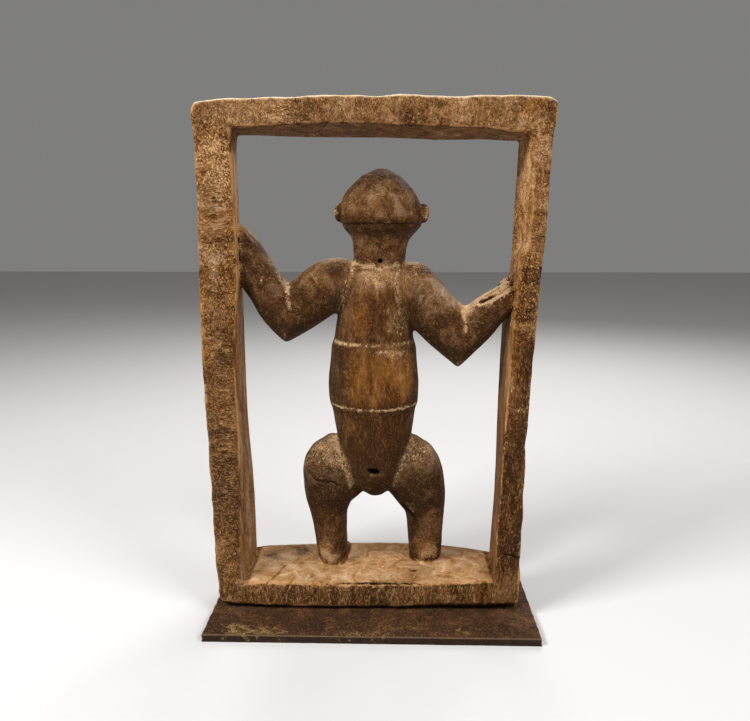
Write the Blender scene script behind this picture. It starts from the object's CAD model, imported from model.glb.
import math

import bmesh
import bpy
import numpy as np
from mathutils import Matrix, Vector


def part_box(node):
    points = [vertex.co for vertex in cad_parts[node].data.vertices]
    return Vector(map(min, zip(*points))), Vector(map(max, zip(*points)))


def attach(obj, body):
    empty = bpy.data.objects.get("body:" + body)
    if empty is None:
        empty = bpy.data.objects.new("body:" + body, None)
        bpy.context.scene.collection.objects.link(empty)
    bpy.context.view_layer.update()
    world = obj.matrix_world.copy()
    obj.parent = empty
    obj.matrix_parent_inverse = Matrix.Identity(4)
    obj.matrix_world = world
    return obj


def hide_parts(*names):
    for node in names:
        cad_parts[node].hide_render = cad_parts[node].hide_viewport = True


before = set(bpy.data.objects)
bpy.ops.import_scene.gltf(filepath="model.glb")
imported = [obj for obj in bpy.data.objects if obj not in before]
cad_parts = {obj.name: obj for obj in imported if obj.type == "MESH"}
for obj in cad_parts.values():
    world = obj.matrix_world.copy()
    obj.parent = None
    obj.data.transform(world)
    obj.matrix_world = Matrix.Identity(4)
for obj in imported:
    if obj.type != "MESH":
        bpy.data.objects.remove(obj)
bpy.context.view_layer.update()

# The photograph's view: half a metre behind the figure's back, level with its head and tipped down.
# The place and the angles were worked out from the plate's and the frame's edges.
MM = 0.001
FOCAL_PX = 640
PHOTO_WIDTH_PX = 750
CAMERA_PLACE_MM = (12.2, -467.7, 299.2)
DEGREES_DOWN = 11.7
DEGREES_TO_LEFT = 1.26


def put_in_scene(name, data):
    """A new object at the origin that shows the mesh, the lens or the lamp."""
    made = bpy.data.objects.new(name, data)
    bpy.context.scene.collection.objects.link(made)
    return made


lens = bpy.data.cameras.new("photo_lens")
lens.sensor_fit = "HORIZONTAL"
lens.lens = lens.sensor_width * FOCAL_PX / PHOTO_WIDTH_PX
camera = put_in_scene("photo_camera", lens)
camera.location = [distance * MM for distance in CAMERA_PLACE_MM]
camera.rotation_euler = (math.radians(90 - DEGREES_DOWN), 0, math.radians(DEGREES_TO_LEFT))
bpy.context.scene.camera = camera


# The carving: figure, frame and foot bar, cut with adze and knife from one block of dense brown wood whose
# grain stands upright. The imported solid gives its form. Here it gets the tool marks, scored lines, cracks
# and worn edges, and a dry, dusty patina that is dark and a little polished where hands held it.
def settle(piece):
    """Makes what the modifiers give the piece's own plain mesh, and removes them."""
    bpy.context.view_layer.update()
    graph = bpy.context.evaluated_depsgraph_get()
    made = bpy.data.meshes.new_from_object(piece.evaluated_get(graph))
    piece.modifiers.clear()
    piece.data = made


def fine_copy(node, name, voxel_mm, smoothing):
    """An even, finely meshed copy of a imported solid."""
    whole = bmesh.new()
    whole.from_mesh(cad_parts[node].data)
    bmesh.ops.remove_doubles(whole, verts=whole.verts, dist=0.01 * MM)
    mesh = bpy.data.meshes.new(name)
    whole.to_mesh(mesh)
    whole.free()
    piece = put_in_scene(name, mesh)
    even = piece.modifiers.new("even skin", "REMESH")
    even.mode = "VOXEL"
    even.voxel_size = voxel_mm * MM
    soften = piece.modifiers.new("soften", "SMOOTH")
    soften.iterations = smoothing
    settle(piece)
    return piece


def read(items, field, width):
    """A mesh layer's values, as an array with one row for each item."""
    values = np.empty(len(items) * width)
    items.foreach_get(field, values)
    return values.reshape(-1, width)


def surface(mesh):
    """The mesh's points in millimetres, and its normals."""
    return read(mesh.vertices, "co", 3) / MM, read(mesh.vertices, "normal", 3)


def move_points(mesh, points):
    mesh.vertices.foreach_set("co", (points * MM).astype(np.float32).ravel())
    mesh.update()


def store(mesh, name, values):
    layer = mesh.attributes.get(name) or mesh.attributes.new(name, "FLOAT", "POINT")
    layer.data.foreach_set("value", np.asarray(values, np.float32))


def rise(low, high, values):
    """Smoothly from 0 at low to 1 at high."""
    t = np.clip((values - low) / (high - low), 0, 1)
    return t * t * (3 - 2 * t)


def spots(points, marks):
    """The sum of egg-shaped spots. Each mark is a centre, three radii and how strong the spot is."""
    total = np.zeros(len(points))
    for centre, radii, strength in marks:
        reach = (((points - centre) / radii) ** 2).sum(1)
        total += strength * np.clip(1 - reach, 0, 1) ** 1.5
    return total


def away_from(points, path):
    """How far each point is from a path of straight stretches."""
    nearest = np.full(len(points), 1e9)
    for start, end in zip(path[:-1], path[1:]):
        start, end = np.array(start, float), np.array(end, float)
        along = end - start
        share = np.clip((points - start) @ along / (along @ along), 0, 1)
        nearest = np.minimum(nearest, np.linalg.norm(points - start - share[:, None] * along, axis=1))
    return nearest


def neighbour_mean(values, edges, rounds):
    """The values after each point has been drawn to the mean of its neighbours, several times."""
    start, end = edges.T
    count = np.bincount(start, minlength=len(values)) + np.bincount(end, minlength=len(values))
    for _ in range(rounds):
        total = [
            np.bincount(start, column[end], len(values)) + np.bincount(end, column[start], len(values))
            for column in values.T
        ]
        values = (values + np.stack(total, 1) / count[:, None]) / 2
    return values


# How far the figure reaches to the left and to the right, at heights from the feet up: (z, x).
FIGURE_LEFT = ((45, -97.5), (60, -62), (200, -62), (212, -98), (240, -95), (262, -93.5), (300, -93),
               (308, -60))
FIGURE_RIGHT = ((45, 94), (60, 64), (180, 64), (190, 95.5), (206, 97), (245, 99.5), (275, 102.5),
                (283, 60))


def regions(points, normals):
    """How much each point is of the figure, of the frame's rough outer faces and of the foot bar's top."""
    x, _, z = points.T
    left_side = np.interp(z, *zip(*FIGURE_LEFT))
    right_side = np.interp(z, *zip(*FIGURE_RIGHT))
    between = rise(left_side, left_side + 3, x) * (1 - rise(right_side - 3, right_side, x))
    figure = between * rise(32.6, 35.5, z) * (1 - rise(359, 361, z))
    foot_top = rise(0.35, 0.75, normals[:, 2]) * (1 - rise(34, 38, z)) * between
    inward = np.maximum(normals[:, 0] * (x < 0), -normals[:, 0] * (x > 0))
    inward = np.maximum(inward, -normals[:, 2] * (z > 340))
    rough = (1 - figure) * (1 - foot_top) * (1 - rise(0.4, 0.8, inward))
    return figure, rough, foot_top


RELAXING_ROUNDS = 50


def relax(points, edges, amount):
    """The broad forms of trunk, arms and thighs with their flats rounded off, and no thinner for it."""
    soft = neighbour_mean(points, edges, RELAXING_ROUNDS)
    soft += soft - neighbour_mean(soft, edges, RELAXING_ROUNDS)
    return points + (soft - points) * amount[:, None]


# Paths that more than one kind of mark follows.
LEFT_BLADE = [(-15, 3, 275), (-16, -4, 268), (-18, -6, 260), (-20, -6, 252), (-24, -1, 238)]
RIGHT_BLADE = [(17.5, -1.5, 274), (16.5, -6, 260), (18, -6, 252), (21.6, -5, 241), (25, -3, 226)]
NECK_FOOT = [(-15, 5, 275), (-6, -2, 272), (5.6, -4.5, 271), (16, -1, 272.5), (25, 7, 275)]
THIGH_GROOVE = [(-47, -0.8, 109), (-41, -2.2, 107), (-33, -3, 107), (-28, -2.8, 105)]
LOWEST_STRIP = [(73.8, -4, 244), (79, -7.3, 244.3), (84.5, -9, 246), (91.4, -9.6, 249.6), (97, -9.9, 254)]
HIGHEST_GAP = [(82, -0.6, 250.8), (90.5, -0.6, 255.9), (99, 4.2, 261.3)]
# Lines that the knife cut or a ridge left. Each is a path, how wide the line is and how deep it is cut. A
# ridge's depth is below zero.
SCORED = (
    ([(1.4, -9, 262), (1.6, -10, 240), (1.2, -11, 219)], 3.0, 0.6),
    (LEFT_BLADE, 2.6, 0.8),
    (RIGHT_BLADE, 2.6, 0.8),
    (NECK_FOOT, 1.2, 0.5),
    ([(-61, -4.7, 257), (-59.9, -9.6, 243)], 1.6, -0.8),
    ([(66.5, -5.3, 240), (67.1, -10.3, 226)], 1.6, -0.8),
    ([(70, -9, 229), (84, -10.5, 239), (97, -10, 250)], 1.8, 0.5),
    ([(-64, -11, 246), (-77, -12, 262), (-90, -12, 276)], 1.8, 0.4),
    (THIGH_GROOVE, 1.6, 0.7),
)
# The strips of the splintered forearm: proud fibres, and the gaps between them.
SCORED += (
    (LOWEST_STRIP, 1.7, -0.9),
    ([(78.2, -2.6, 246), (85.3, -3, 249.6), (91.7, -6.9, 253.6), (97.2, -7.2, 257.2)], 1.9, 1.5),
    ([(80, -4.5, 245.4), (87, -6, 248), (97, -8.5, 255.4)], 1.2, 0.9),
    (HIGHEST_GAP, 1.4, 0.7),
)
# The face's fine lines: round each eye, between its nearly closed lids, and between the lips.
FACE_LINES = (
    [(-10.5, 34.1, 309.7), (-8.5, 35.2, 311.8), (-5, 36.4, 312.9), (-1.5, 37.3, 311.8),
     (0.6, 37.6, 309.7)],
    [(-10.5, 34.1, 309.7), (-8.5, 35.2, 307.7), (-5, 36.6, 306.7), (-1.5, 37.3, 307.7),
     (0.6, 37.6, 309.7)],
    [(22.7, 34.3, 309.7), (20.7, 34.9, 311.8), (17.2, 36.4, 312.9), (13.7, 37.4, 311.8),
     (11.6, 37.7, 309.7)],
    [(22.7, 34.3, 309.7), (20.7, 35.5, 307.7), (17.2, 36.8, 306.7), (13.7, 37.4, 307.7),
     (11.6, 37.7, 309.7)],
    [(-9.5, 35.5, 309.9), (-7, 37.2, 309.4), (-5, 38.4, 309.2), (-2.5, 38.4, 309.4),
     (-0.5, 38.2, 309.7)],
    [(21.7, 35.3, 309.9), (19.4, 37.2, 309.4), (17.2, 38.3, 309.2), (14.8, 38.4, 309.4),
     (12.7, 38.3, 309.7)],
    [(-1.5, 38.3, 292), (2, 39.2, 291.5), (6, 39.7, 291.3), (10, 39.2, 291.5), (13.7, 38.3, 292)],
)
FACE_LINE_WIDTH = 1.7
FACE_LINE_DEPTH = 0.8
SCORED += tuple((path, FACE_LINE_WIDTH, FACE_LINE_DEPTH) for path in FACE_LINES)
HEAD_MIDDLE_X = 6
HAIR_EDGE_Z = 301.8


def score(points, normals):
    """The points moved along their normals at each line, and where the neck swells to the hair's edge."""
    shift = np.zeros(len(points))
    for path, width, depth in SCORED:
        shift -= depth * np.exp(-((away_from(points, path) / (width / 2)) ** 2))
    x, y, z = points.T
    under_hair = (abs(x - HEAD_MIDDLE_X) < 40) & (y < 16) & (z > 280)
    shift += 0.2 * under_hair * np.exp(-(((z - HAIR_EDGE_Z + 4) / 2.6) ** 2))
    shift -= 0.6 * under_hair * np.exp(-(((z - HAIR_EDGE_Z) / 0.7) ** 2))
    return points + normals * shift[:, None]


def put_node(tree, kind, inputs, **settings):
    """Adds a node. Inputs are given by name or number, and are values, sockets or other nodes."""
    node = tree.nodes.new(kind)
    for key, value in settings.items():
        setattr(node, key, value)
    for key, value in inputs.items():
        if isinstance(value, bpy.types.Node):
            value = value.outputs[0]
        if isinstance(value, bpy.types.NodeSocket):
            tree.links.new(value, node.inputs[key])
        else:
            node.inputs[key].default_value = value
    return node


def maths(tree, operation, first, second=0.5, third=0.5, clamp=False):
    inputs = {0: first, 1: second, 2: third}
    return put_node(tree, "ShaderNodeMath", inputs, operation=operation, use_clamp=clamp)


def vector_maths(tree, operation, first, second=(0, 0, 0), third=(0, 0, 0)):
    inputs = {0: first, 1: second, 2: third}
    return put_node(tree, "ShaderNodeVectorMath", inputs, operation=operation)


def scaled(tree, vector, factor):
    return put_node(tree, "ShaderNodeVectorMath", {0: vector, 3: factor}, operation="SCALE")


def open_group(name, kind, inputs, outputs):
    """A node group with its named sockets, and the node that gives its inputs."""
    group = bpy.data.node_groups.new(name, kind)
    for direction, sockets in (("INPUT", inputs), ("OUTPUT", outputs)):
        for label, (holds, value) in sockets.items():
            socket_type = "NodeSocket" + holds
            socket = group.interface.new_socket(label, in_out=direction, socket_type=socket_type)
            if value is not None:
                socket.default_value = value
    return group, group.nodes.new("NodeGroupInput").outputs


def only_where(tree, value, mask):
    """The value times what the mesh stores under the mask's name."""
    there = put_node(tree, "GeometryNodeInputNamedAttribute", {"Name": mask}, data_type="FLOAT")
    return maths(tree, "MULTIPLY", value, there)


def close_tree(tree, geometry, distance, unit, material):
    """Ends a tree that moves the surface along its normals, and gives the result its material."""
    way_out = tree.nodes.new("GeometryNodeInputNormal")
    offset = scaled(tree, way_out, maths(tree, "MULTIPLY", distance, unit))
    moved = put_node(tree, "GeometryNodeSetPosition", {"Geometry": geometry, "Offset": offset})
    real = put_node(tree, "GeometryNodeRealizeInstances", {0: moved})
    finished = put_node(tree, "GeometryNodeSetMaterial", {"Geometry": real, "Material": material})
    put_node(tree, "NodeGroupOutput", {0: finished})


def tool_mark_tree(material):
    """Geometry Nodes that cut adze scoops, knife facets, chatter and upright fibres into the surface."""
    tree, given = open_group(
        "tool marks",
        "GeometryNodeTree",
        {
            "Geometry": ("Geometry", None),
            "Adze scoop width": ("Float", 14.0),
            "Adze scoop depth": ("Float", 1.3),
            "Knife cut width": ("Float", 9.0),
            "Knife cut depth": ("Float", 0.45),
            "Chatter pitch": ("Float", 3.2),
            "Chatter depth": ("Float", 0.35),
            "Fibre width": ("Float", 2.0),
            "Fibre depth": ("Float", 0.55),
        },
        {"Geometry": ("Geometry", None)},
    )
    place = scaled(tree, tree.nodes.new("GeometryNodeInputPosition"), 1 / MM)
    bend = put_node(tree, "ShaderNodeTexNoise", {"Vector": place, "Scale": 0.09, "Detail": 2.0})
    bend = vector_maths(tree, "SUBTRACT", bend.outputs["Color"], (0.5, 0.5, 0.5))
    wavy = vector_maths(tree, "MULTIPLY_ADD", bend, (9.0, 9.0, 9.0), place)

    def scoops(width, depth, stretch, mask):
        cells = vector_maths(tree, "MULTIPLY", wavy, stretch)
        cells = scaled(tree, cells, maths(tree, "DIVIDE", 1.0, given[width]))
        scoop = put_node(tree, "ShaderNodeTexVoronoi", {"Vector": cells, "Scale": 1.0, "Smoothness": 0.2},
                         feature="SMOOTH_F1")
        cut = maths(tree, "SUBTRACT", scoop.outputs["Distance"], 0.8)
        return only_where(tree, maths(tree, "MULTIPLY", cut, given[depth]), mask)

    adze = scoops("Adze scoop width", "Adze scoop depth", (0.75, 0.75, 1.0), "rough")
    knife = scoops("Knife cut width", "Knife cut depth", (1.0, 1.0, 0.55), "figure")
    waves_per_mm = maths(tree, "DIVIDE", 2 * math.pi / 20, given["Chatter pitch"])
    ripple = put_node(tree, "ShaderNodeTexWave", {"Vector": wavy, "Scale": waves_per_mm, "Distortion": 1.5},
                      bands_direction="Z")
    ripple = maths(tree, "SUBTRACT", ripple.outputs["Fac"], 1.0)
    ripple = only_where(tree, maths(tree, "MULTIPLY", ripple, given["Chatter depth"]), "chatter")
    strands = scaled(tree, place, maths(tree, "DIVIDE", 1.0, given["Fibre width"]))
    strands = vector_maths(tree, "MULTIPLY", strands, (1.0, 1.0, 0.3))
    fibre = put_node(tree, "ShaderNodeTexNoise",
                     {"Vector": strands, "Scale": 1.0, "Detail": 2.0, "Distortion": 0.8})
    fibre = maths(tree, "MULTIPLY", maths(tree, "SUBTRACT", fibre, 0.62), given["Fibre depth"])
    fibre = only_where(tree, fibre, "fibrous")
    depth = maths(tree, "ADD", maths(tree, "ADD", adze, knife), maths(tree, "ADD", ripple, fibre))
    close_tree(tree, given["Geometry"], depth, MM, material)
    return tree


carving = fine_copy("carved_figure_in_frame", "carved_figure_and_frame", voxel_mm=0.9, smoothing=3)
points, normals = surface(carving.data)
figure, rough, foot_top = regions(points, normals)
x, _, z = points.T
hands = np.maximum(rise(-74, -84, x) * rise(250, 262, z), rise(70, 76, x) * rise(236, 244, z))
broad = figure * rise(50, 65, z) * (1 - rise(271, 277, z)) * (1 - hands)
points = relax(points, read(carving.data.edges, "vertices", 2).astype(int), broad)
move_points(carving.data, points)
points, normals = surface(carving.data)
figure, rough, foot_top = regions(points, normals)
# Where the blade chattered over the grain. Each spot is a centre, three radii and how strong it is.
CHATTER = (
    ((-108, -18, 312), (16, 12, 26), 1.0),
    ((-108, -18, 140), (18, 12, 120), 0.7),
    ((-60, -18, 375), (22, 12, 14), 0.8),
    ((112, -18, 300), (16, 12, 22), 0.5),
    ((106, -18, 150), (14, 12, 40), 0.5),
)
store(carving.data, "figure", figure)
store(carving.data, "rough", rough)
store(carving.data, "chatter", spots(points, CHATTER) * rough)
store(carving.data, "fibrous", 0.2 + 0.8 * rough)
move_points(carving.data, score(points, normals))

carved_wood = bpy.data.materials.new("carved wood")
marks = carving.modifiers.new("tool marks", "NODES")
marks.node_group = tool_mark_tree(carved_wood)
settle(carving)
points, normals = surface(carving.data)
lowest, highest = (np.array(corner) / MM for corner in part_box("carved_figure_in_frame"))
move_points(carving.data, np.clip(points, lowest, highest))
MOST_TRIANGLES = 190000  # before the cracks are cut
slim = carving.modifiers.new("slim", "DECIMATE")
slim.ratio = MOST_TRIANGLES / (2 * len(carving.data.polygons))
settle(carving)


# Drying cracks, a pit and a torn nick: a path, the width, the depth, and the way that the crack opens.
CRACKS = (
    ([(100, -17.6, 55.8), (103, -17.6, 54.6), (107, -17.6, 54.2), (110, -17.6, 52.6), (115, -17.6, 51.4)],
     1.1, 6, (0, -1, 0)),
    ([(23.2, 6.9, 85.6), (25.6, 6.9, 83.1), (28, 7.8, 79.3), (30.4, 7.4, 76.9), (32.9, 7.9, 73.3),
      (35.3, 7.6, 70.9)],
     2.0, 6, (-0.3, -0.9, -0.2)),
    ([(-71, 8, 29.9), (-74, 1, 29.8), (-75, -7, 29.6), (-80, -14, 29.2), (-82, -18.5, 28)],
     0.7, 4, (0, -0.2, 1)),
    ([(29.8, 0.4, 30.4), (31.5, 0.6, 30.4), (33.4, 0.2, 30.4)], 1.6, 4, (0, 0, 1)),
    ([(-52, -17.2, 385.5), (-50.5, -17.2, 383.5), (-51, -17.2, 381)], 0.9, 2.5, (0, -0.7, 0.7)),
    ([(-103, -17.2, 40), (-104, -17.2, 62), (-102.6, -17.2, 84)], 0.25, 1.5, (0, -1, 0)),
    ([(107, -17.3, 92), (108.5, -17.3, 112), (107.6, -17.3, 128)], 0.25, 1.5, (0, -1, 0)),
)
CUT_ABOVE_SURFACE = 1.5
BLUNT_END = 0.12


def crack_wedge(path, width, depth, opening):
    """A closed wedge along a path, open above the surface, sharp below it and narrowing to both ends."""
    path, opening = np.array(path, float), np.array(opening, float) / np.linalg.norm(opening)
    along = np.gradient(path, axis=0)
    side = np.cross(along, opening)
    side /= np.linalg.norm(side, axis=1)[:, None]
    share = np.sin(np.linspace(BLUNT_END, math.pi - BLUNT_END, len(path)))[:, None]
    mouth = path + opening * CUT_ABOVE_SURFACE
    sideways = side * width * share
    rows = np.stack([mouth + sideways, mouth - sideways, path - opening * depth * share], 1)
    wedge = bmesh.new()
    verts = [[wedge.verts.new(corner * MM) for corner in row] for row in rows]
    for row, after in zip(verts[:-1], verts[1:]):
        for corner in range(3):
            follows = (corner + 1) % 3
            wedge.faces.new((row[corner], row[follows], after[follows], after[corner]))
    wedge.faces.new(verts[0][::-1])
    wedge.faces.new(verts[-1])
    bmesh.ops.recalc_face_normals(wedge, faces=wedge.faces)
    return wedge


def cut_cracks(piece, cracks):
    """Cuts the cracks' wedges out of the piece."""
    for crack in cracks:
        wedge = crack_wedge(*crack)
        mesh = bpy.data.meshes.new("crack")
        wedge.to_mesh(mesh)
        wedge.free()
        cutter = put_in_scene("crack", mesh)
        cut = piece.modifiers.new("crack", "BOOLEAN")
        cut.solver = "EXACT"
        cut.object = cutter
        settle(piece)
        bpy.data.objects.remove(cutter)


cut_cracks(carving, CRACKS)


def shade_smooth(mesh):
    mesh.polygons.foreach_set("use_smooth", np.ones(len(mesh.polygons), bool))


def wobble(points, reach, spacing):
    """The points swayed to and fro, so that whatever is measured from them gets an uneven edge."""
    slow = points[:, [1, 2, 0]] * (2 * math.pi / spacing)
    quick = points[:, [2, 0, 1]] * (2 * math.pi / (0.37 * spacing))
    return points + reach * (np.sin(slow + np.sin(quick)) + 0.4 * np.sin(quick + np.sin(slow)))


def line_marks(points, lines):
    """The sum of lines that waver a little. Each line is a path, a half width and how strong it is."""
    swayed = wobble(points, reach=0.5, spacing=9)
    total = np.zeros(len(points))
    for path, width, strength in lines:
        total += strength * np.exp(-((away_from(swayed, path) / width) ** 2))
    return total


WAIST_BAND_TOP_Z = 216.3
WAIST_BAND_FOOT_Z = 167.6
# How light the frame is at heights from its foot up: (z, tone).
FRAME_TONE = ((10, -0.14), (40, -0.12), (150, -0.2), (260, -0.1), (340, 0.03), (387, -0.03))


def waist_band_lines(points, figure):
    """Dust along the waist band's upper and lower edges, which hang a little in the middle."""
    x, y, z = points.T
    hanging = z + 1.2 * np.cos(x / 14)
    upper = np.exp(-((hanging - WAIST_BAND_TOP_Z) ** 2)) * (0.42 + 0.4 * rise(16, -14, x))
    lower = np.exp(-(((hanging - WAIST_BAND_FOOT_Z) / 0.62) ** 2)) * 1.1
    return (upper + lower) * figure * (abs(x) < 38) * rise(8, 2, y)


def crack_shadow(points):
    """How dark the cracks make each point, and how near it is to one."""
    dark = near = np.zeros(len(points))
    for path, width, depth, opening in CRACKS:
        inward = -depth * np.array(opening, float) / np.linalg.norm(opening)
        rows = [np.array(path) + inward * share for share in np.linspace(0, 1, 9)]
        away = np.min([away_from(points, row) for row in rows], axis=0)
        reach = 0.1 + 0.3 * width + 0.17 * width**2
        dark = np.maximum(dark, np.exp(-((away / reach) ** 2)) * min(1, 0.35 + 0.6 * width))
        near = np.maximum(near, np.exp(-((away / (0.4 + 0.5 * width)) ** 2)))
    return dark, near


def wood_finish(mesh):
    """Stores where the wood is dark, warm, polished, dusty, chalky, worn, grimy and streaky."""
    points, normals = surface(mesh)
    edges = read(mesh.edges, "vertices", 2).astype(int)
    figure, rough, foot_top = regions(points, normals)
    x, y, z = points.T
    up = normals[:, 2]
    inner = (1 - rough) * (1 - figure) * (1 - foot_top)
    swayed = wobble(points, reach=2.2, spacing=17)
    fine_form = ((points - neighbour_mean(points, edges, 4)) * normals).sum(1)
    broad_form = ((points - neighbour_mean(points, edges, 40)) * normals).sum(1)
    hollow = rise(-0.35, -1.1, broad_form)
    cracked, by_crack = crack_shadow(points)
    lines = line_marks(points, DUSTY_LINES) + waist_band_lines(points, figure)
    upper_right = (x > 90) * (z > 230)
    calm = rise(235, 200, z) * (x > 80) * rough

    tone = np.interp(z, *zip(*FRAME_TONE)) * (1 - figure)
    tone -= 0.06 * rise(0, 60, x) * (1 - rise(250, 330, z)) * (1 - figure)
    tone += (0.1 + 0.08 * (x < 0)) * inner * (z < 350)
    tone += 0.42 * foot_top
    tone -= (0.26 - 0.12 * rise(0.2, 0.7, normals[:, 1])) * figure
    tone -= (0.34 * figure * (z < 285) + 0.14) * rise(0.0, -0.7, up)
    face = figure * rise(14, 22, y) * rise(276, 282, z)
    tone += 0.24 * face * np.clip(broad_form / 0.7, -1, 1)
    tone += spots(swayed, TONE)
    store(mesh, "tone", tone)
    warm = 0.4 + 0.15 * rough + (0.2 + 0.15 * (x > 0)) * inner + 0.3 * foot_top + spots(swayed, WARM)
    store(mesh, "warm", np.clip(warm, 0, 1))
    store(mesh, "polish", np.clip(figure * 0.3 + spots(swayed, POLISH), 0, 1))

    shoulder_dust = figure * rise(0.1, 0.9, up) * (1 - rise(276, 284, z)) * 0.2
    shoulder_dust += figure * rise(0.35, 0.75, up) * rise(60, 66, abs(x)) * 0.45
    dust = foot_top * 0.25 + shoulder_dust + lines + spots(swayed, DUST)
    store(mesh, "dust", np.clip(dust * (1 - by_crack), 0, 1))
    chalk = rise(0.3, 0.75, up) * rise(371, 376, z) * (0.6 + 0.4 * rise(-10, -16, y))
    far_edge_of_foot_bar = rise(8, 14, y) * (z < 36) * (1 - figure)
    chalk += rise(0.5, 1.2, broad_form) * rise(0.3, 0.7, up) * far_edge_of_foot_bar * 0.4
    chalk += figure * rise(0.8, 1.0, up) * (1 - rise(276, 284, z)) * rise(215, 225, z) * 0.35
    store(mesh, "chalk", np.clip(chalk, 0, 1))

    edge = (1 - figure) * rise(0.4, 1.9, broad_form) * 0.75 + figure * rise(1.1, 1.9, broad_form) * 0.5
    wear = edge + rise(0.08, 0.25, fine_form) * 0.35 * rough + spots(swayed, CHIPPED)
    store(mesh, "wear", wear * (1 - by_crack))
    grime = rise(-0.08, -0.3, fine_form) * rise(36, 50, z)
    grime += hollow * (1 - figure) * (1 - foot_top) * rise(45, 60, z) * 0.25
    grime += line_marks(points, GRIMY_LINES)
    grime = grime * (1 - np.clip(lines, 0, 1)) + spots(swayed, GRIME_SPOTS) + cracked
    store(mesh, "grime", np.clip(grime, 0, 1))

    trunk = figure * rise(34, 26, abs(x - 1)) * rise(100, 120, z) * (1 - rise(262, 272, z))
    streaky = 0.6 * trunk + calm + 0.9 * inner * (z < 350) * (1 - upper_right)
    streaky += 0.35 * rise(362, 366, z) + 0.7 * (1 - rise(30, 34, z)) * rough
    store(mesh, "streaky", np.clip(streaky, 0, 1))
    store(mesh, "rough", rough * (1 - 0.8 * calm) + inner * (0.2 + 0.7 * upper_right))
    store(mesh, "chatter", spots(points, CHATTER) * rough)


# Pale dust gathered in lines: along the shoulder blades, round the neck's foot, where the thighs leave the
# seat, on a ridge at each elbow, on the splintered forearm's strips, beside the leg's crack, high on the
# waist band, and in four faint arcs that a blade left on the right of the back.
DUSTY_LINES = (
    (LEFT_BLADE, 2.6, 0.32),
    (RIGHT_BLADE, 2.6, 0.32),
    (NECK_FOOT, 1.4, 0.72),
    ([(-30, 9, 139.5), (-27, 4, 133), (-23, 1, 123), (-19, 1, 113), (-17, 1, 104)], 3.6, 0.42),
    ([(29.7, 7, 140), (27.4, 4, 133), (23.5, 1, 124), (19.7, 1, 114), (16.7, 3, 103)], 3.0, 0.4),
    ([(-61, -4.7, 257), (-60.6, -7, 250), (-59.9, -9.6, 243)], 1.4, 0.8),
    ([(66.5, -5.3, 240), (66.8, -8, 233), (67.1, -10.3, 226)], 1.3, 0.85),
    (LOWEST_STRIP, 0.8, 1.0),
    ([(77, -1.8, 247.4), (86, -2.5, 252), (96, -2, 258.3)], 0.7, 0.8),
    ([(78.5, -4.8, 245.2), (83.4, -5, 247.3), (88.5, -5.6, 249.6)], 0.7, 1.0),
    ([(76, 0, 248), (87, 0, 254.5), (98, 3, 261.5)], 0.9, 0.7),
    ([(27.4, 5, 85), (29.2, 5, 82.6), (32.2, 5.9, 78.4)], 1.0, 0.85),
    ([(4, -11, 211), (9.4, -10.7, 210.2), (17.5, -8.9, 209.2), (23, -6.3, 210.2)], 1.8, 0.4),
    ([(7.9, -9.9, 240.8), (13.6, -8.8, 242.1), (20.2, -6.1, 238.2)], 0.8, 0.42),
    ([(8.6, -9.9, 235.7), (15.1, -8.5, 236.3), (21, -5.9, 233)], 0.8, 0.42),
    ([(10.1, -9.6, 230.6), (15.9, -8.2, 231.1), (21.7, -5.3, 227.8)], 0.8, 0.42),
    ([(11.5, -9.2, 226.2), (17.4, -7.5, 225.9), (22.5, -4.9, 223.3)], 0.8, 0.4),
)
# Dark lines: the gaps between the strips, the leg's crack, a groove over the left thigh, the overhang under
# the top bar's face, and torn wood under the foot bar's near edge. The face's fine lines follow.
GRIMY_LINES = (
    ([(78.2, -2.6, 246.3), (83.2, -2.9, 248.5), (87.4, -3.2, 250.7), (91.7, -6.9, 253),
      (97.2, -7.2, 256.6)],
     0.42, 1.5),
    ([(84, -6, 247), (89, -7.5, 249.8), (96.5, -8.6, 254.8)], 0.32, 1.3),
    ([(25.2, 8.5, 82.2), (27.6, 9.2, 79)], 1.1, 1.6),
    ([(27.6, 9.2, 79), (30.1, 9.5, 75.3), (31.8, 8.8, 73.6)], 0.75, 1.3),
    (HIGHEST_GAP, 0.6, 0.9),
    (THIGH_GROOVE + [(-22, -1, 101.5)], 0.9, 0.7),
    ([(-94, -10, 365.7), (-59, -16, 367.5), (-19, -16, 367.5), (8, -15, 366.6), (32, -15, 365.6)],
     0.9, 0.8),
    ([(32, -15, 365.6), (47, -14, 365), (68, -15, 364.6), (82, -15, 363.6), (94, -15, 362)], 0.9, 0.8),
    ([(-48, -17, 29), (-22, -15.4, 28.5), (6, -15.4, 29), (35, -16.3, 29), (46, -16, 30)], 1.1, 0.75),
)
GRIMY_LINES += tuple((path, 0.8, 0.65) for path in FACE_LINES)
# Small chips along the left stile, where golden wood shows.
CHIPPED = (
    ((-111, -18, 213), (13, 5, 10), 0.6),
    ((-110, -18, 157), (11, 5, 4), 0.75),
    ((-113, -18, 138), (10, 5, 3), 0.7),
    ((-106, -18, 110.5), (8, 5, 4), 0.75),
)
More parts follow.
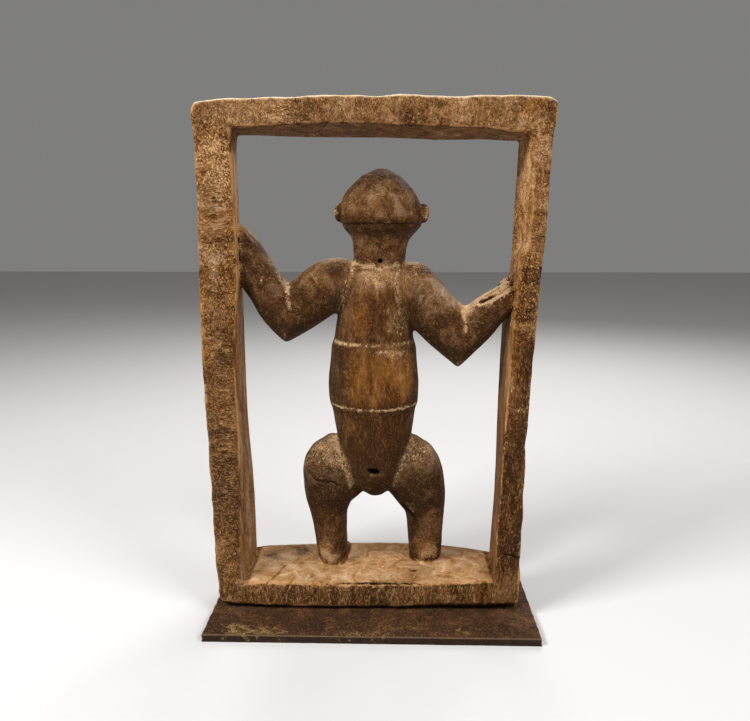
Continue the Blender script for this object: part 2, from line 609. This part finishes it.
# Where the patina is lighter or darker, dustier, warmer, more polished or grimier than around it. A spot
# below zero is darker, cooler or cleaner.
TONE = (
    ((8, -1, 338), (13, 13, 10), -0.14),
    ((6, -12, 322), (9, 8, 12), 0.14),
    ((6, 0, 316), (36, 24, 17), 0.36),
    ((2, 0, 289), (34, 24, 16), 0.1),
    ((-4, -8, 240), (22, 12, 24), 0.03),
    ((3, -6, 264), (30, 14, 20), 0.27),
    ((46, -4, 254), (26, 16, 18), 0.39),
    ((-44, -4, 262), (26, 16, 14), 0.17),
    ((1.5, -9, 238), (4, 8, 24), -0.14),
    ((22, -2, 236), (10, 12, 18), -0.1),
    ((0, -9, 190), (36, 22, 27), 0.16),
    ((-24, -6, 190), (13, 16, 26), -0.16),
    ((20, -6, 196), (14, 14, 20), 0.12),
    ((2, -9, 178), (16, 8, 8), 0.1),
    ((0, -6, 135), (32, 22, 32), -0.2),
    ((24, -5, 190), (9, 12, 22), 0.14),
    ((40, 2, 86), (24, 24, 26), 0.1),
    ((31, 5, 80), (10, 12, 12), 0.12),
    ((14, -8, 326), (14, 8, 9), 0.07),
    ((-39, 2, 128), (20, 20, 18), 0.12),
    ((41, 2, 128), (20, 20, 18), 0.11),
    ((-62, 0, 222), (16, 20, 18), -0.22),
    ((64, 0, 204), (16, 20, 18), -0.24),
    ((52, -4, 246), (26, 14, 18), 0.1),
    ((-38, 9, 42), (14, 14, 14), 0.24),
    ((-46, 9, 46), (7, 10, 10), 0.16),
    ((42, 10, 44), (14, 14, 14), 0.2),
    ((50, 10, 66), (8, 14, 20), 0.16),
    ((43, 8, 60), (18, 14, 26), 0.1),
    ((-38, 6, 62), (16, 14, 24), 0.06),
    ((99, -12, 205), (6, 12, 60), 0.16),
    ((104, -14, 290), (6, 10, 60), 0.1),
    ((107, -4, 320), (6, 18, 56), 0.18),
    ((70, 0, 364), (40, 22, 5), 0.12),
    ((112, -18, 330), (14, 10, 70), 0.05),
    ((110, -18, 120), (16, 10, 80), -0.13),
    ((112, -18, 330), (14, 8, 50), 0.06),
    ((112, -18, 262), (12, 8, 24), 0.08),
    ((-110, -18, 100), (18, 8, 52), -0.14),
    ((-90, -18, 374), (30, 8, 12), -0.1),
    ((0, -18, 376), (60, 8, 12), -0.05),
    ((-109, -18, 352), (14, 6, 5), 0.14),
    ((-62, -18, 374), (10, 6, 9), 0.18),
    ((-44, -18, 372), (6, 6, 14), -0.12),
    ((30, -18, 374), (20, 6, 12), -0.08),
    ((-106, -18, 346), (6, 6, 5), -0.2),
    ((-108, -18, 200), (14, 8, 40), -0.06),
    ((0, -18, 18), (60, 8, 14), -0.12),
    ((-90, -18, 18), (32, 8, 16), -0.08),
    ((108, -18, 60), (14, 8, 30), -0.24),
    ((0, 0, 31), (70, 40, 6), -0.07),
    ((84, -18, 22), (40, 8, 16), 0.12),
    ((8, -18, 29), (38, 6, 5), -0.3),
    ((-43, -18, 29), (24, 6, 3), -0.2),
    ((-84, 20, 31), (9, 10, 4), -0.45),
    ((-62, 26, 31), (9, 8, 4), -0.45),
    ((20, 30, 31), (26, 10, 4), -0.2),
    ((84, 24, 31), (14, 12, 4), -0.25),
)
DUST = (
    ((3, -8, 263), (26, 12, 14), 0.3),
    ((3.5, -8, 261), (3.5, 4, 3.5), 0.4),
    ((-38, 4, 124), (24, 20, 21), 0.22),
    ((41, 4, 124), (22, 20, 20), 0.21),
    ((88, -3, 255), (16, 9, 9), 0.18),
    ((-30, 6, 118), (12, 14, 20), 0.18),
    ((31, 6, 118), (12, 14, 20), 0.14),
    ((-62, -18, 374), (20, 6, 14), 0.35),
    ((-104, -18, 340), (20, 8, 50), 0.32),
    ((-28, 7, 313), (5, 9, 10), 0.55),
    ((40, 7, 311), (5, 9, 10), 0.42),
    ((-37, 8, 39.5), (15, 12, 8), 0.85),
    ((44, 12, 40), (14, 12, 10), 0.6),
    ((6, -8, 318), (30, 20, 14), 0.18),
    ((18, -9, 206), (16, 8, 10), 0.2),
    ((4, -9, 178), (14, 8, 8), 0.15),
    ((-20.8, -8, 192.2), (1.2, 3, 1.2), 1.0),
    ((-77, -11, 263.6), (2, 4, 2), 0.8),
    ((34, -6, 262), (16, 10, 12), 0.2),
    ((24, -5, 188), (8, 12, 20), 0.2),
)
WARM = (
    ((4, -8, 190), (38, 24, 30), 1.3),
    ((-24, -6, 192), (10, 14, 26), -0.6),
    ((-8, -9, 235), (14, 10, 22), 0.8),
    ((10, -6, 238), (20, 14, 30), 0.3),
    ((0, -6, 140), (32, 22, 30), 0.5),
    ((-97, -14, 305), (4, 14, 60), 0.8),
    ((104, -14, 262), (6, 12, 110), 0.7),
    ((107, -4, 330), (6, 18, 60), 0.9),
    ((-104, -18, 350), (20, 10, 30), 0.4),
    ((-98, -18, 250), (8, 10, 110), 0.5),
    ((105, -17, 381), (10, 6, 6), 0.6),
    ((-121, -12, 250), (5, 20, 120), 0.6),
    ((109, -17.6, 49), (6, 4, 5), 0.8),
    ((-48, 20, 31), (10, 18, 6), 0.5),
    ((-84, 20, 31), (10, 12, 6), -0.8),
    ((-62, 26, 31), (10, 10, 6), -0.8),
    ((-38, 2, 110), (26, 24, 40), -0.3),
    ((40, 2, 110), (26, 24, 40), -0.3),
    ((8, 0, 330), (26, 20, 16), -0.3),
    ((46, -4, 252), (26, 16, 20), -0.4),
    ((-28, 7, 313), (5, 9, 10), 0.6),
    ((40, 7, 311), (5, 9, 10), 0.6),
    ((-38, 9, 42), (14, 14, 14), 0.5),
    ((42, 10, 46), (14, 14, 14), 0.4),
)
POLISH = (
    ((0, -8, 190), (38, 24, 28), 0.6),
    ((-6, -9, 232), (24, 10, 24), 0.3),
    ((6, 0, 300), (30, 30, 20), 0.2),
)
GRIME_SPOTS = (
    ((8, -18, 28.5), (30, 4, 2.5), 0.45),
    ((-75.6, -18, 23), (6, 4, 3), 0.6),
    ((-4.5, -12, 172.8), (1.3, 3, 1.3), 1.0),
    ((-95, -8, 264), (9, 16, 28), -1.0),
    ((-96, 0, 364), (8, 14, 8), -0.8),
    ((104, 0, 362), (9, 20, 9), -0.9),
)
shade_smooth(carving.data)
wood_finish(carving.data)


def mottle_group():
    """Flecks drawn out along the grain, thin pale hairs between them, and broad blotches."""
    tree, given = open_group(
        "mottle",
        "ShaderNodeTree",
        {
            "Place": ("Vector", None),
            "Fleck size": ("Float", 1.0),
            "Stretch": ("Vector", (1, 1, 1)),
            "Hair width": ("Float", 0.05),
        },
        {"Fleck": ("Float", None), "Hairs": ("Float", None), "Blotch": ("Float", None)},
    )
    drawn = vector_maths(tree, "MULTIPLY", given["Place"], given["Stretch"])
    fine = scaled(tree, drawn, maths(tree, "DIVIDE", 1.0, given["Fleck size"]))
    flecks = put_node(tree, "ShaderNodeTexNoise",
                      {"Vector": fine, "Scale": 0.42, "Detail": 3.0, "Roughness": 0.65, "Distortion": 1.6})
    fleck = put_node(tree, "ShaderNodeMapRange", {"Value": flecks, "From Min": 0.36, "From Max": 0.64})
    lines = put_node(tree, "ShaderNodeTexNoise",
                     {"Vector": fine, "Scale": 0.28, "Detail": 1.5, "Roughness": 0.5, "Distortion": 1.8})
    off_line = maths(tree, "ABSOLUTE", maths(tree, "SUBTRACT", lines, 0.5))
    core = maths(tree, "MULTIPLY", given["Hair width"], 0.3)
    hairs = put_node(tree, "ShaderNodeMapRange",
                     {"Value": off_line, "From Min": given["Hair width"], "From Max": core})
    broken = maths(tree, "MULTIPLY", hairs, maths(tree, "MULTIPLY_ADD", fleck, 3.0, -1.0, clamp=True))
    blotches = put_node(tree, "ShaderNodeTexNoise",
                        {"Vector": drawn, "Scale": 0.085, "Detail": 5.0, "Roughness": 0.62,
                         "Distortion": 0.9})
    blotch = put_node(tree, "ShaderNodeMapRange", {"Value": blotches, "From Min": 0.32, "From Max": 0.68})
    put_node(tree, "NodeGroupOutput", {"Fleck": fleck, "Hairs": broken, "Blotch": blotch})
    return tree


def broken_edge_group():
    """A mask cut off where flecks say so, so that wear or dust frays out instead of fading evenly."""
    tree, given = open_group(
        "frayed mask",
        "ShaderNodeTree",
        {"Mask": ("Float", 0.0), "Fleck": ("Float", 0.5), "Fray": ("Float", 0.6)},
        {"Mask": ("Float", None)},
    )
    swing = maths(tree, "MULTIPLY", maths(tree, "SUBTRACT", given["Fleck"], 0.5), given["Fray"])
    limit = maths(tree, "ADD", swing, 0.5)
    kept = put_node(tree, "ShaderNodeMapRange",
                    {"Value": given["Mask"], "From Min": maths(tree, "SUBTRACT", limit, 0.25),
                     "From Max": maths(tree, "ADD", limit, 0.25)}, interpolation_type="SMOOTHSTEP")
    some = maths(tree, "MULTIPLY", given["Mask"], 4.0, clamp=True)
    put_node(tree, "NodeGroupOutput", {"Mask": maths(tree, "MULTIPLY", kept, some)})
    return tree


def mix(tree, factor, first, second):
    """A colour between two colours."""
    inputs = {0: factor, 6: first, 7: second}
    return put_node(tree, "ShaderNodeMix", inputs, data_type="RGBA").outputs[2]


def blend(tree, factor, first, second):
    """A value between two values."""
    inputs = {0: factor, 2: first, 3: second}
    return put_node(tree, "ShaderNodeMix", inputs, data_type="FLOAT").outputs[0]


def colour_ramp(tree, factor, stops):
    """The colour at the factor on a ramp. Each stop is a place on it and a colour."""
    node = put_node(tree, "ShaderNodeValToRGB", {"Fac": factor})
    elements = node.color_ramp.elements
    while len(elements) < len(stops):
        elements.new(0.5)
    for element, (position, colour) in zip(elements, stops):
        element.position = position
        element.color = (*colour, 1)
    return node.outputs["Color"]


def plain_place(tree):
    """Object coordinates in millimetres."""
    return scaled(tree, put_node(tree, "ShaderNodeTexCoord", {}).outputs["Object"], 1 / MM)


def stored(tree, name):
    return put_node(tree, "ShaderNodeAttribute", {}, attribute_name=name).outputs["Fac"]


mottle = mottle_group()
frayed = broken_edge_group()


def grain(tree, place, hair_width, stretch):
    """The wood's fleck, hairs and blotch, drawn out by the stretch."""
    inputs = {"Place": place, "Fleck size": 0.87, "Hair width": hair_width, "Stretch": stretch}
    return put_node(tree, "ShaderNodeGroup", inputs, node_tree=mottle).outputs


def fray(tree, mask, fleck, amount):
    """The mask with an edge that frays out along the flecks."""
    inputs = {"Mask": mask, "Fleck": fleck, "Fray": amount}
    return put_node(tree, "ShaderNodeGroup", inputs, node_tree=frayed)


GREY_BROWN = ((0.0, (0.010, 0.004, 0.001)), (0.25, (0.042, 0.018, 0.007)), (0.5, (0.125, 0.064, 0.031)),
              (0.75, (0.28, 0.176, 0.110)), (1.0, (0.56, 0.40, 0.27)))
ORANGE_BROWN = ((0.0, (0.014, 0.004, 0.001)), (0.25, (0.077, 0.022, 0.002)), (0.5, (0.196, 0.072, 0.011)),
                (0.75, (0.39, 0.185, 0.058)), (1.0, (0.64, 0.39, 0.18)))
PALE_DUST = (0.56, 0.355, 0.185, 1)
WORN_EDGE = (0.46, 0.245, 0.090, 1)
GRIME = (0.010, 0.005, 0.002, 1)
CHALK = (0.84, 0.70, 0.48, 1)
GOLDEN_HAIR = (0.72, 0.44, 0.205, 1)
DARKEST = 0.1

carved_wood.use_nodes = True
tree = carved_wood.node_tree
tree.nodes.clear()
place = plain_place(tree)
rough = stored(tree, "rough")
dust = stored(tree, "dust")
hair_width = maths(tree, "MULTIPLY_ADD", dust, 0.06, 0.045)
fleck, hairs, blotch = grain(tree, place, hair_width, (1, 1, 0.9))
speck = fleck
for mask, stretch in (("streaky", (1, 1, 0.3)), ("chatter", (0.4, 0.4, 1.3))):
    drawn = grain(tree, place, hair_width, stretch)
    there = stored(tree, mask)
    fleck, hairs, blotch = (blend(tree, there, *pair) for pair in zip((fleck, hairs, blotch), drawn))
facets = put_node(tree, "ShaderNodeTexVoronoi", {"Vector": place, "Scale": 0.06, "Randomness": 1.0})
facets = maths(tree, "MULTIPLY", maths(tree, "SUBTRACT", facets.outputs["Color"], 0.5), rough)
lightness = maths(tree, "ADD", stored(tree, "tone"), 0.5)
stain = put_node(tree, "ShaderNodeMapRange", {"Value": blotch, "From Min": 0.3, "From Max": 0.1})
fleck_swing = maths(tree, "SUBTRACT", fleck, 0.5)
blotch_swing = maths(tree, "SUBTRACT", blotch, 0.5)
fleck_share = maths(tree, "MULTIPLY_ADD", rough, 0.2, 0.22)
for layer, share in ((fleck_swing, fleck_share), (blotch_swing, 0.5), (stain, -0.08), (facets, 0.28)):
    lightness = maths(tree, "MULTIPLY_ADD", layer, share, lightness)
lightness = maths(tree, "MAXIMUM", lightness, DARKEST)
warmth = maths(tree, "MULTIPLY_ADD", blotch_swing, -0.7, stored(tree, "warm"))
warmth = maths(tree, "MULTIPLY_ADD", fleck_swing, 0.5, warmth, clamp=True)
grey_wood = colour_ramp(tree, lightness, GREY_BROWN)
orange_wood = colour_ramp(tree, lightness, ORANGE_BROWN)
skin = mix(tree, warmth, grey_wood, orange_wood)
pale_hairs = maths(tree, "MULTIPLY_ADD", rough, 0.42, 0.16)
pale_hairs = maths(tree, "MULTIPLY_ADD", dust, 0.6, pale_hairs)
skin = mix(tree, maths(tree, "MULTIPLY", hairs, pale_hairs, clamp=True), skin, GOLDEN_HAIR)
patchy = maths(tree, "MULTIPLY_ADD", blotch, 1.6, -0.1, clamp=True)
worn = maths(tree, "MULTIPLY", stored(tree, "wear"), patchy)
skin = mix(tree, fray(tree, worn, fleck, 0.9), skin, WORN_EDGE)
dusted = fray(tree, dust, speck, maths(tree, "MULTIPLY_ADD", rough, -1.7, 0.8))
skin = mix(tree, maths(tree, "MULTIPLY", dusted, 0.8), skin, PALE_DUST)
skin = mix(tree, fray(tree, stored(tree, "grime"), speck, 0.5), skin, GRIME)
specky = maths(tree, "MULTIPLY_ADD", speck, 0.7, 0.4, clamp=True)
chalky = maths(tree, "MULTIPLY", stored(tree, "chalk"), specky)
skin = mix(tree, chalky, skin, CHALK)
height = maths(tree, "MULTIPLY_ADD", hairs, 0.6, fleck)
bump = put_node(tree, "ShaderNodeBump", {"Strength": 1.0, "Distance": 0.3 * MM, "Height": height})
roughness = put_node(tree, "ShaderNodeMapRange",
                     {"Value": stored(tree, "polish"), "To Min": 0.8, "To Max": 0.45})
wood = put_node(tree, "ShaderNodeBsdfPrincipled",
                {"Base Color": skin, "Roughness": roughness, "Normal": bump, "Specular IOR Level": 0.15,
                 "Specular Tint": (1.0, 0.75, 0.5, 1)})
put_node(tree, "ShaderNodeOutputMaterial", {"Surface": wood})

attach(carving, "root")
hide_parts("carved_figure_in_frame")


# The stand: a slip of old iron plate, rolled flat and sawn to length. It is rusty brown on top, and greyer
# at both ends, along the far edge and on its sawn sides, with ochre specks and small nicks.
def rust_tree(material):
    """Geometry Nodes that eat shallow pits into the iron's faces and nicks into its edges, inward only."""
    tree, given = open_group(
        "rust pits",
        "GeometryNodeTree",
        {
            "Geometry": ("Geometry", None),
            "Pit width": ("Float", 4.0),
            "Pit depth": ("Float", 0.3),
            "Nick width": ("Float", 6.0),
            "Nick depth": ("Float", 0.8),
        },
        {"Geometry": ("Geometry", None)},
    )
    place = scaled(tree, tree.nodes.new("GeometryNodeInputPosition"), 1 / MM)

    def eaten(width, depth, mask, start):
        grown = scaled(tree, place, maths(tree, "DIVIDE", 1.0, given[width]))
        noise = put_node(tree, "ShaderNodeTexNoise", {"Vector": grown, "Scale": 1.0, "Detail": 3.0})
        bite = put_node(tree, "ShaderNodeMapRange", {"Value": noise, "From Min": start, "From Max": 0.75})
        return only_where(tree, maths(tree, "MULTIPLY", bite, given[depth]), mask)

    pitted = eaten("Pit width", "Pit depth", "open side", 0.45)
    nicked = eaten("Nick width", "Nick depth", "arris", 0.4)
    close_tree(tree, given["Geometry"], maths(tree, "ADD", pitted, nicked), -MM, material)
    return tree


# Where the iron is barer and greyer, and where ochre specks lie, as spots like the wood's.
BARE_IRON = (
    ((-104, 6, 6), (22, 40, 8), 0.7),
    ((30, 44, 6), (90, 12, 8), 0.5),
    ((104, -20, 6), (26, 14, 8), 0.4),
)
OCHRE_SPECKS = (
    ((-99, -41, 6), (20, 11, 4), 0.62),
    ((-76, -42, 6), (18, 8, 4), 0.5),
    ((67, -41, 6), (8, 5, 4), 0.6),
    ((-8, -44, 6), (36, 5, 4), 0.34),
    ((26, -36, 6), (24, 5, 4), 0.3),
)


def fine_box(name, low, high, cell_mm):
    """A box of small even cells, from corner to corner in millimetres."""
    box = bmesh.new()
    bmesh.ops.create_cube(box, size=1)
    for vert in box.verts:
        vert.co = np.where(np.array(vert.co) < 0, low, high) * MM
    for axis in range(3):
        along = [edge for edge in box.edges
                 if abs((edge.verts[0].co - edge.verts[1].co)[axis]) > 0.1 * MM]
        cells = round((high - low)[axis] / cell_mm)
        bmesh.ops.subdivide_edges(box, edges=along, cuts=cells - 1, use_grid_fill=True)
    mesh = bpy.data.meshes.new(name)
    box.to_mesh(mesh)
    box.free()
    return put_in_scene(name, mesh)


rusty_iron = bpy.data.materials.new("rusty iron")
lowest, highest = (np.array(corner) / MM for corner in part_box("stand_plate"))
plate = fine_box("iron_plate", lowest, highest, cell_mm=1.2)
points, normals = surface(plate.data)
inside = np.sort(np.minimum(points - lowest, highest - points), axis=1)
arris = rise(1.4, 0.2, inside[:, 1])
store(plate.data, "arris", arris * rise(1, 3, points[:, 2]))
store(plate.data, "open side", rise(-0.9, -0.5, normals[:, 2]))
pits = plate.modifiers.new("rust pits", "NODES")
pits.node_group = rust_tree(rusty_iron)
settle(plate)
points, normals = surface(plate.data)
move_points(plate.data, np.clip(points, lowest, highest))
swayed = wobble(points, reach=3.0, spacing=23)
store(plate.data, "bare", spots(swayed, BARE_IRON))
store(plate.data, "ochre", spots(swayed, OCHRE_SPECKS))
store(plate.data, "sawn edge", 1 - rise(0.4, 0.8, abs(normals[:, 2])))
shade_smooth(plate.data)

RUST = ((0.0, (0.006, 0.0025, 0.001)), (0.3, (0.024, 0.008, 0.002)), (0.55, (0.058, 0.020, 0.005)),
        (0.8, (0.15, 0.062, 0.020)), (1.0, (0.36, 0.20, 0.095)))
IRON_GREY = (0.045, 0.038, 0.030, 1)
SAWN_GREY = (0.014, 0.009, 0.005, 1)
PALE_SPECK = (0.30, 0.19, 0.10, 1)
OCHRE = (0.40, 0.25, 0.085, 1)
PALE_ARRIS = (0.13, 0.078, 0.045, 1)

rusty_iron.use_nodes = True
tree = rusty_iron.node_tree
tree.nodes.clear()
inputs = {"Place": plain_place(tree), "Fleck size": 0.42}
fleck, _, blotch = put_node(tree, "ShaderNodeGroup", inputs, node_tree=mottle).outputs
lightness = maths(tree, "MULTIPLY_ADD", maths(tree, "SUBTRACT", fleck, 0.5), 0.5, 0.46)
lightness = maths(tree, "MULTIPLY_ADD", maths(tree, "SUBTRACT", blotch, 0.5), 0.5, lightness)
lightness = maths(tree, "MULTIPLY_ADD", stored(tree, "bare"), 0.15, lightness, clamp=True)
skin = colour_ramp(tree, lightness, RUST)
skin = mix(tree, fray(tree, stored(tree, "bare"), fleck, 0.8), skin, IRON_GREY)
specks = put_node(tree, "ShaderNodeMapRange", {"Value": fleck, "From Min": 0.74, "From Max": 0.95})
skin = mix(tree, maths(tree, "MULTIPLY", specks, 0.55), skin, PALE_SPECK)
skin = mix(tree, maths(tree, "MULTIPLY", stored(tree, "sawn edge"), 0.75), skin, SAWN_GREY)
skin = mix(tree, fray(tree, stored(tree, "arris"), fleck, 1.0), skin, PALE_ARRIS)
skin = mix(tree, fray(tree, stored(tree, "ochre"), fleck, -1.3), skin, OCHRE)
bump = put_node(tree, "ShaderNodeBump", {"Strength": 0.8, "Distance": 0.25 * MM, "Height": fleck})
iron = put_node(tree, "ShaderNodeBsdfPrincipled",
                {"Base Color": skin, "Roughness": 0.7, "Normal": bump, "Specular IOR Level": 0.15,
                 "Metallic": maths(tree, "MULTIPLY", stored(tree, "bare"), 0.4)})
put_node(tree, "ShaderNodeOutputMaterial", {"Surface": iron})

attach(plate, "root")
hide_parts("stand_plate")


# The studio: a plain pale floor, a soft light high at either side of the camera, and one high beyond the
# carving. None of it belongs to the part.
LIT_PLACE = (0, 0, 0.2)


def soft_light(name, place, size, watts):
    """A square lamp at a place in metres, turned to the carving's middle."""
    lamp = bpy.data.lights.new(name, "AREA")
    lamp.size = size
    lamp.energy = watts
    holder = put_in_scene(name, lamp)
    holder.location = place
    direction = np.array(LIT_PLACE) - np.array(place)
    flat = math.hypot(direction[0], direction[1])
    holder.rotation_euler = (math.atan2(flat, -direction[2]), 0, math.atan2(-direction[0], direction[1]))


soft_light("left_light", (-0.8, -0.5, 1.0), size=0.4, watts=18)
soft_light("right_light", (0.75, -0.6, 1.0), size=0.5, watts=10)
soft_light("back_light", (0.3, 0.9, 1.0), size=0.8, watts=10)
floor_mesh = bpy.data.meshes.new("floor")
floor_mesh.from_pydata([(-4, -4, 0), (4, -4, 0), (4, 4, 0), (-4, 4, 0)], [], [(0, 1, 2, 3)])
floor = put_in_scene("floor", floor_mesh)
pale = bpy.data.materials.new("pale floor")
pale.use_nodes = True
floor_inputs = pale.node_tree.nodes["Principled BSDF"].inputs
floor_inputs["Base Color"].default_value = (0.62, 0.61, 0.6, 1)
floor_inputs["Roughness"].default_value = 0.9
floor_mesh.materials.append(pale)
world = bpy.data.worlds.new("studio")
bpy.context.scene.world = world
world.use_nodes = True
sky = world.node_tree.nodes["Background"].inputs
sky["Color"].default_value = (0.84, 0.83, 0.82, 1)
sky["Strength"].default_value = 0.25
bpy.context.scene.view_settings.view_transform = "Standard"
